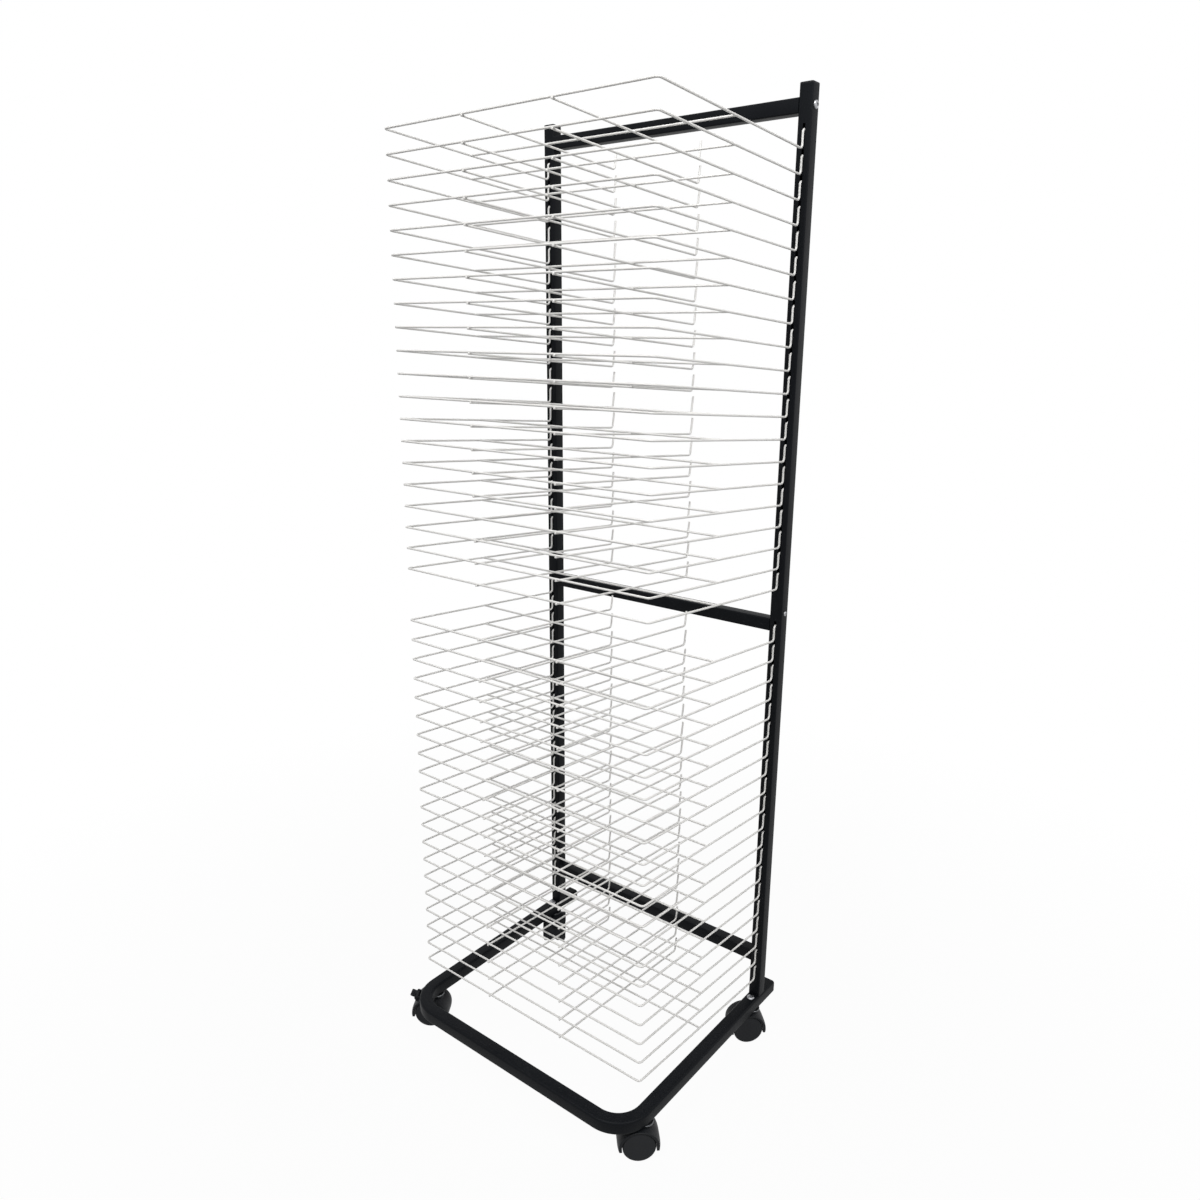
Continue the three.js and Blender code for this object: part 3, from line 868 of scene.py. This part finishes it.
@dataclass
class Caster:
    """One twin-wheel caster: housing, stem with its collar, two wheels on an axle, and a pedal on some."""

    corner: str
    braked: bool
    wheel_radius: float = 25 * MM
    wheel_inner: float = 3.5 * MM
    wheel_outer: float = 20.5 * MM
    axle_radius: float = 4 * MM
    hood_inner: float = 26.2 * MM
    hood_outer: float = 29 * MM
    hood_reach: float = 32 * MM
    hood_half: float = 22 * MM
    hood_below: float = math.radians(12)
    web_half: float = 2.5 * MM
    lobe: float = 9 * MM
    boss_radius: float = 9 * MM
    boss_top: float = 53.3 * MM
    collar_radius: float = 13 * MM
    collar_top: float = 55.7 * MM
    stem_radius: float = 5 * MM
    stem_top: float = 70 * MM
    pedal_half: float = 7.5 * MM
    pedal_length: float = 12 * MM
    pedal_half_thick: float = 1.8 * MM
    pedal_tilt: float = math.radians(22)
    barrel: float = 3 * MM
    ear: float = 2.4 * MM
    ear_gap: float = 0.3 * MM
    trail: float = field(init=False)
    stem: np.ndarray = field(init=False)
    ahead: np.ndarray = field(init=False)

    def __post_init__(self) -> None:
        """Takes the stem's place, the caster's heading and its trail from its joints."""
        self.stem = np.array(joint_named(f"{self.corner}_swivel")["pos_m"]) * [1, 1, 0]
        axle = np.array(joint_named(f"{self.corner}_roll")["pos_m"]) * [1, 1, 0]
        self.ahead = unit(self.stem - axle)
        self.trail = float(np.linalg.norm(self.stem - axle))

    def place(self, points: np.ndarray) -> np.ndarray:
        """From the caster's own frame, ahead, across and up from the floor under its stem."""
        up = np.array([0.0, 0.0, 1.0])
        across = np.cross(up, self.ahead)
        return self.stem + points[..., :1] * self.ahead + points[..., 1:2] * across + points[..., 2:] * up

    def hood_section(self) -> np.ndarray:
        """Across the hood: a crowned outer side, rounded rims thickened inwards, and a plain inner side.

        The outer radius falls from the middle with the fourth power of the distance from it.

        Returns:
            Radius and width of the outline, counter-clockwise.
        """
        across = np.linspace(-1, 1, 15)
        crown = self.hood_outer - 0.8 * MM * across**4
        outer = np.stack([crown, across * (self.hood_half - 0.5 * MM)], -1)
        rim = np.array([
            [self.hood_outer - 1.3 * MM, self.hood_half],
            [self.hood_inner + 0.1 * MM, self.hood_half],
            [self.hood_inner - 0.3 * MM, self.hood_half - 0.5 * MM],
            [self.hood_inner - 0.3 * MM, self.hood_half - 1.2 * MM],
            [self.hood_inner, self.hood_half - 1.6 * MM],
        ])
        return np.concatenate([outer, rim, rim[::-1] * [1, -1]])

    def hood(self) -> np.ndarray:
        """The hood's section turned about the axle, its wall thicker towards its two ends.

        A point is its radius times the cosine and the sine of the angle. The cosine's part grows
        with the point's depth in the wall, so the outer side is an ellipse and the inner a circle.

        Returns:
            One ring for each angle, from below the axle on one side to below it on the other.
        """
        radius, width = self.hood_section().T
        depth = np.clip((radius - self.hood_inner) / (self.hood_outer - self.hood_inner), 0, 1)
        angle = np.linspace(-self.hood_below, math.pi + self.hood_below, 45)[:, None]
        x = radius * (1 + depth * (self.hood_reach / self.hood_outer - 1)) * np.cos(angle) - self.trail
        return np.stack([x, np.broadcast_to(width, x.shape), radius * np.sin(angle) + self.wheel_radius], -1)

    def web(self) -> np.ndarray:
        """Plate between the wheels: a half disc up to the hood with a lobe round the axle."""
        over, under = np.linspace(0, math.pi, 25), np.linspace(math.pi, 2 * math.pi, 13)
        angle = np.concatenate([over, under])
        radius = np.concatenate([np.full(25, self.hood_inner + 0.5 * MM), np.full(13, self.lobe)])
        x, z = radius * np.cos(angle) - self.trail, radius * np.sin(angle) + self.wheel_radius
        return np.stack([np.stack([x, np.full(38, y), z], -1) for y in (self.web_half, -self.web_half)])

    def boss(self) -> np.ndarray:
        """Round boss that the stem stands in, flared where it meets the hood."""
        r, top = self.boss_radius, self.boss_top
        profile = [
            (r + 2.5 * MM, 46 * MM), (r + 2.2 * MM, 49.5 * MM), (r + 1.0 * MM, 51.0 * MM), (r + 0.2 * MM, 52.2 * MM),
            (r, top - 0.6 * MM), (r - 0.7 * MM, top), (1 * MM, top),
        ]
        return turned(profile, (0, 0, 0), (0, 0, 1))

    def collar(self) -> Surface:
        """Steel collar under the tube, with the stem that goes up into it."""
        c, s = self.collar_radius, self.stem_radius
        profile = [
            (s, self.boss_top - 4 * MM), (s, self.boss_top), (c - 0.4 * MM, self.boss_top), (c, self.boss_top + 0.4 * MM),
            (c, self.collar_top - 0.4 * MM), (c - 0.4 * MM, self.collar_top), (s, self.collar_top),
            (s, self.stem_top - 1 * MM), (s - 1 * MM, self.stem_top), (0.2 * MM, self.stem_top),
        ]
        return Surface().loft(turned(profile, (0, 0, 0), (0, 0, 1), 32), self.place)

    def pivot(self) -> np.ndarray:
        """The pedal's pivot in the caster's own frame."""
        away = np.array(joint_named(f"{self.corner}_brake")["pos_m"])
        return np.array([(away - self.stem) @ self.ahead, 0.0, away[2]])

    def ears(self) -> list[np.ndarray]:
        """Two lugs from the hood to the pedal's pivot: a round end and two straight flanks each."""
        pivot = self.pivot() - [-self.trail, 0, self.wheel_radius]
        lean = math.atan2(pivot[2], pivot[0])
        reach = math.hypot(pivot[0], pivot[2])
        round_end = circle(self.barrel + 0.6 * MM, 16)[np.arange(-4, 5)] + [reach, 0]
        outline = np.concatenate([round_end, [[self.hood_outer - 1.2 * MM, 6 * MM], [self.hood_outer - 1.2 * MM, -6 * MM]]])
        x = outline[:, 0] * math.cos(lean) - outline[:, 1] * math.sin(lean) - self.trail
        z = outline[:, 0] * math.sin(lean) + outline[:, 1] * math.cos(lean) + self.wheel_radius
        near = self.pedal_half + self.ear_gap
        spans = [(near + self.ear, near), (-near, -near - self.ear)]
        return [np.stack([np.stack([x, np.full(len(x), y), z], -1) for y in span]) for span in spans]

    def housing(self) -> Surface:
        """Hood, web, boss and ears."""
        surface = Surface()
        parts = [self.hood(), self.web(), self.boss()] + (self.ears() if self.braked else [])
        for rings in parts:
            surface.loft(rings, self.place)
        return surface

    def wheel_profile(self) -> np.ndarray:
        """One wheel from its hub's inner end round the tread to the middle of its outer disc.

        The rim turns over by a quarter of an ellipse, and the disc sinks from it by one less the
        square of its radius.

        Returns:
            Rows of radius and distance from the caster's middle.
        """
        inner, outer, r = self.wheel_inner, self.wheel_outer, self.wheel_radius
        back = np.array([[4.2, 0], [9.5, 0], [10, 2.2], [20, 2.6], [21, 0.4], [23.6, 0], [24.6, 0.5]]) * MM + [0, inner]
        angle = np.linspace(0, math.pi / 2, 7)
        rim = np.stack([r - 2.2 * MM * (1 - np.cos(angle)), outer - 1.8 * MM * (1 - np.sin(angle))], -1)
        disc = np.linspace(21.5, 0.2, 10) * MM
        sunk = outer - 0.35 * MM * (1 - (disc / (22.8 * MM)) ** 2)
        return np.concatenate([back, [[r, inner + 1.4 * MM]], rim, np.stack([disc, sunk], -1)])

    def wheels(self) -> tuple[Surface, np.ndarray]:
        """Both wheels and the axle, with the share of tread at each point."""
        profile = self.wheel_profile()
        centre = (-self.trail, 0, self.wheel_radius)
        surface = Surface()
        for way in (1, -1):
            surface.loft(turned(profile, centre, (0, way, 0), 72), self.place)
        reach = self.wheel_inner + 2 * MM
        surface.loft(turned([(self.axle_radius, -reach), (self.axle_radius, reach)], centre, (0, 1, 0), 24), self.place)
        share = np.clip((profile[:, 0] - 23.8 * MM) / (0.8 * MM), 0, 1)
        each = np.repeat(share, 72)
        return surface, np.concatenate([each, each, np.zeros(48)])

    def tipped(self, points: np.ndarray) -> np.ndarray:
        """From the pedal's own frame at its pivot, its far end turned up by its resting tilt."""
        c, s = math.cos(self.pedal_tilt), math.sin(self.pedal_tilt)
        x, y, z = np.moveaxis(points, -1, 0)
        return self.place(self.pivot() + np.stack([x * c + z * s, y, z * c - x * s], -1))

    def pedal(self) -> Surface:
        """Barrel on the pivot, and a plate behind it with rounded corners and three foot ridges."""
        half, thick, length = self.pedal_half, self.pedal_half_thick, self.pedal_length
        surface = Surface()
        ends = np.array([[0, half, 0], [0, half - 0.4 * MM, 0], [0, 0.4 * MM - half, 0], [0, -half, 0]])
        surface.loft(sweep(ends, circle(self.barrel, 24), (1, 0, 0), np.array([0.86, 1, 1, 0.86])), self.tipped)
        levels = [(-1.0, 0.5), (-0.72, 0.0), (0.72, 0.0), (1.0, 0.5)]
        plate = np.array([
            np.concatenate([
                rounded_box(length - 2 * i * MM, 2 * (half - i * MM), 2 * MM, 6) - [length / 2, 0],
                np.full((28, 1), z * thick),
            ], -1)
            for z, i in levels
        ])
        surface.loft(plate, self.tipped)
        reach = half - 1.6 * MM
        for back in (4.6, 7.0, 9.4):
            line = np.array([[0, -reach, 0], [0, 0.6 * MM - reach, 0], [0, reach - 0.6 * MM, 0], [0, reach, 0]])
            ridge = sweep(line, circle(0.6 * MM, 12), (1, 0, 0), np.array([0.4, 1, 1, 0.4]))
            surface.loft(ridge + [-back * MM, 0, thick - 0.1 * MM], self.tipped)
        return surface

    def build(self) -> None:
        """Housing, collar, wheels and pedal, each on its own body."""
        c = self.corner
        self.housing().piece(f"{c}_caster_hood", f"{c}_caster", CASTER_PLASTIC, [f"{c}_caster_housing"])
        # The collar's zinc is painted dark: painted shade under the base tube.
        self.collar().piece(f"{c}_stem_collar", f"{c}_caster", SHADED_ZINC)
        surface, tread = self.wheels()
        surface.piece(f"{c}_twin_wheels", f"{c}_wheels", WHEEL_PLASTIC, [f"{c}_wheel_pair"], tread)
        if self.braked:
            self.pedal().piece(f"{c}_foot_pedal", f"{c}_pedal", PEDAL_PLASTIC, [f"{c}_brake_pedal"])


@dataclass
class Studio:
    """Floor, soft lamps, pale surround and the camera."""

    yaw: float = math.radians(38.113)
    pitch: float = math.radians(16.015)
    roll: float = math.radians(0.403)
    eye: tuple[float, float, float] = (0.87841, -1.08426, 1.16710)
    focal_pixels: float = 946.82
    middle: tuple[float, float] = (607.51, 607.08)
    sensor: float = 36.0
    floor_half: float = 9.0
    ambient: float = 0.12
    floor_white: float = 0.965
    floor_fade: tuple[float, float] = (0.06, 0.17)

    def camera(self) -> None:
        """Camera turned by yaw, pitch and roll, with the lens and shift that frame the rack."""
        cy, sy, cp, sp = math.cos(self.yaw), math.sin(self.yaw), math.cos(self.pitch), math.sin(self.pitch)
        look = np.array([-sy * cp, cy * cp, -sp])
        right = np.array([cy, sy, 0.0])
        up = np.cross(right, look)
        tilted_right = math.cos(self.roll) * right + math.sin(self.roll) * up
        tilted_up = -math.sin(self.roll) * right + math.cos(self.roll) * up
        data = bpy.data.cameras.new("photo_camera")
        data.sensor_width = self.sensor
        data.lens = self.focal_pixels / PHOTO_PIXELS * self.sensor
        half = PHOTO_PIXELS / 2
        data.shift_x = (half - self.middle[0]) / PHOTO_PIXELS
        data.shift_y = (self.middle[1] - half) / PHOTO_PIXELS
        data.clip_start = 0.01
        made = bpy.data.objects.new("photo_camera", data)
        axes = np.eye(4)
        axes[:3, :4] = np.stack([tilted_right, tilted_up, -look, np.array(self.eye)], -1)
        made.matrix_world = Matrix(axes.tolist())
        bpy.context.scene.collection.objects.link(made)
        bpy.context.scene.camera = made

    def lamp(self, name: str, at: Sequence[float], aim: Sequence[float], size: float, watts: float) -> None:
        """Square soft lamp at a place, facing a point."""
        data = bpy.data.lights.new(name, "AREA")
        data.shape = "SQUARE"
        data.size = size
        data.energy = watts
        made = bpy.data.objects.new(name, data)
        away = unit(np.asarray(at, float) - np.asarray(aim, float))
        across = unit(np.cross([0.0, 0.0, 1.0], away))
        axes = np.eye(4)
        axes[:3, :4] = np.stack([across, np.cross(away, across), away, np.asarray(at, float)], -1)
        made.matrix_world = Matrix(axes.tolist())
        bpy.context.scene.collection.objects.link(made)

    def surround(self) -> None:
        """World: white where it is seen or mirrored, softer where it only lights the rack."""
        world = bpy.data.worlds.new("pale_surround")
        bpy.context.scene.world = world
        world.use_nodes = True
        bench = Bench(world.node_tree)
        white = bench.add("ShaderNodeBackground", {}, {"Color": (1, 1, 1, 1), "Strength": 1.0})
        soft = bench.add("ShaderNodeBackground", {}, {"Color": (1, 1, 1, 1), "Strength": self.ambient})
        seen = self.seen(bench)
        mixed = bench.add("ShaderNodeMixShader", {}, {0: seen, 1: soft, 2: white})
        bench.add("ShaderNodeOutputWorld", {}, {"Surface": mixed})

    def seen(self, bench: Bench) -> Socket:
        """1 on rays from the camera, a mirror or clear glass."""
        camera, glossy, through = (
            bench.add("ShaderNodeLightPath", {}, {}, ray)
            for ray in ("Is Camera Ray", "Is Glossy Ray", "Is Transmission Ray")
        )
        return camera | glossy | through

    def floor(self) -> None:
        """Wide pale floor, partly white by itself where it is seen, so that it keeps a soft shadow."""
        half = self.floor_half
        square = np.array([[-half, -half, 0], [half, -half, 0], [half, half, 0], [-half, half, 0]])
        mesh = bpy.data.meshes.new("studio_floor")
        mesh.from_pydata(square.tolist(), [], [[0, 1, 2, 3]])
        made = bpy.data.objects.new("studio_floor", mesh)
        material = bpy.data.materials.new("pale_floor")
        material.use_nodes = True
        bench = Bench(material.node_tree)
        matt = bench.add("ShaderNodeBsdfDiffuse", {}, {"Color": (0.45, 0.45, 0.45, 1)})
        glow = bench.add("ShaderNodeEmission", {}, {"Color": (1, 1, 1, 1), "Strength": 1.0})
        off = bench.add("ShaderNodeVectorMath", {"operation": "LENGTH"}, {0: bench.place()}, "Value")
        far = bench.ramp(off * (1 / self.floor_half), *self.floor_fade)
        shown = self.seen(bench) * (self.floor_white + far * (1 - self.floor_white))
        mixed = bench.add("ShaderNodeMixShader", {}, {0: shown, 1: matt, 2: glow})
        bench.add("ShaderNodeOutputMaterial", {}, {"Surface": mixed})
        mesh.materials.append(material)
        bpy.context.scene.collection.objects.link(made)

    def build(self) -> None:
        """Sets the stage and the view."""
        bpy.context.scene.view_settings.view_transform = "Standard"
        self.camera()
        self.surround()
        self.floor()
        self.lamp("top_lamp", (-0.4, -0.7, 3.2), (0, 0, 0.7), 1.4, 6)
        self.lamp("front_lamp", (0.2, -2.2, 3.6), (0, 0, 0.8), 1.4, 84)
        self.lamp("right_lamp", (2.2, -0.6, 2.6), (0, 0, 0.6), 1.4, 42)
        self.lamp("rear_lamp", (1.6, 2.4, 1.2), (0, 0, 0.8), 1.2, 5)


def main() -> None:
    """Builds the studio and the rack's sub-assemblies in order."""
    logging.basicConfig(level=logging.INFO, format="%(message)s")
    Studio().build()
    BaseFrame().build()
    for side in Side:
        Post(side).build()
    for name in ("top_rail", "mid_rail", "bottom_rail"):
        Rail(name).build()
    for corner in ("front_left", "front_right", "rear_left", "rear_right"):
        Caster(corner, corner.endswith("left")).build()
    for number in range(1, 41):
        WireShelf(number).build()


if __name__ == "__main__":
    main()
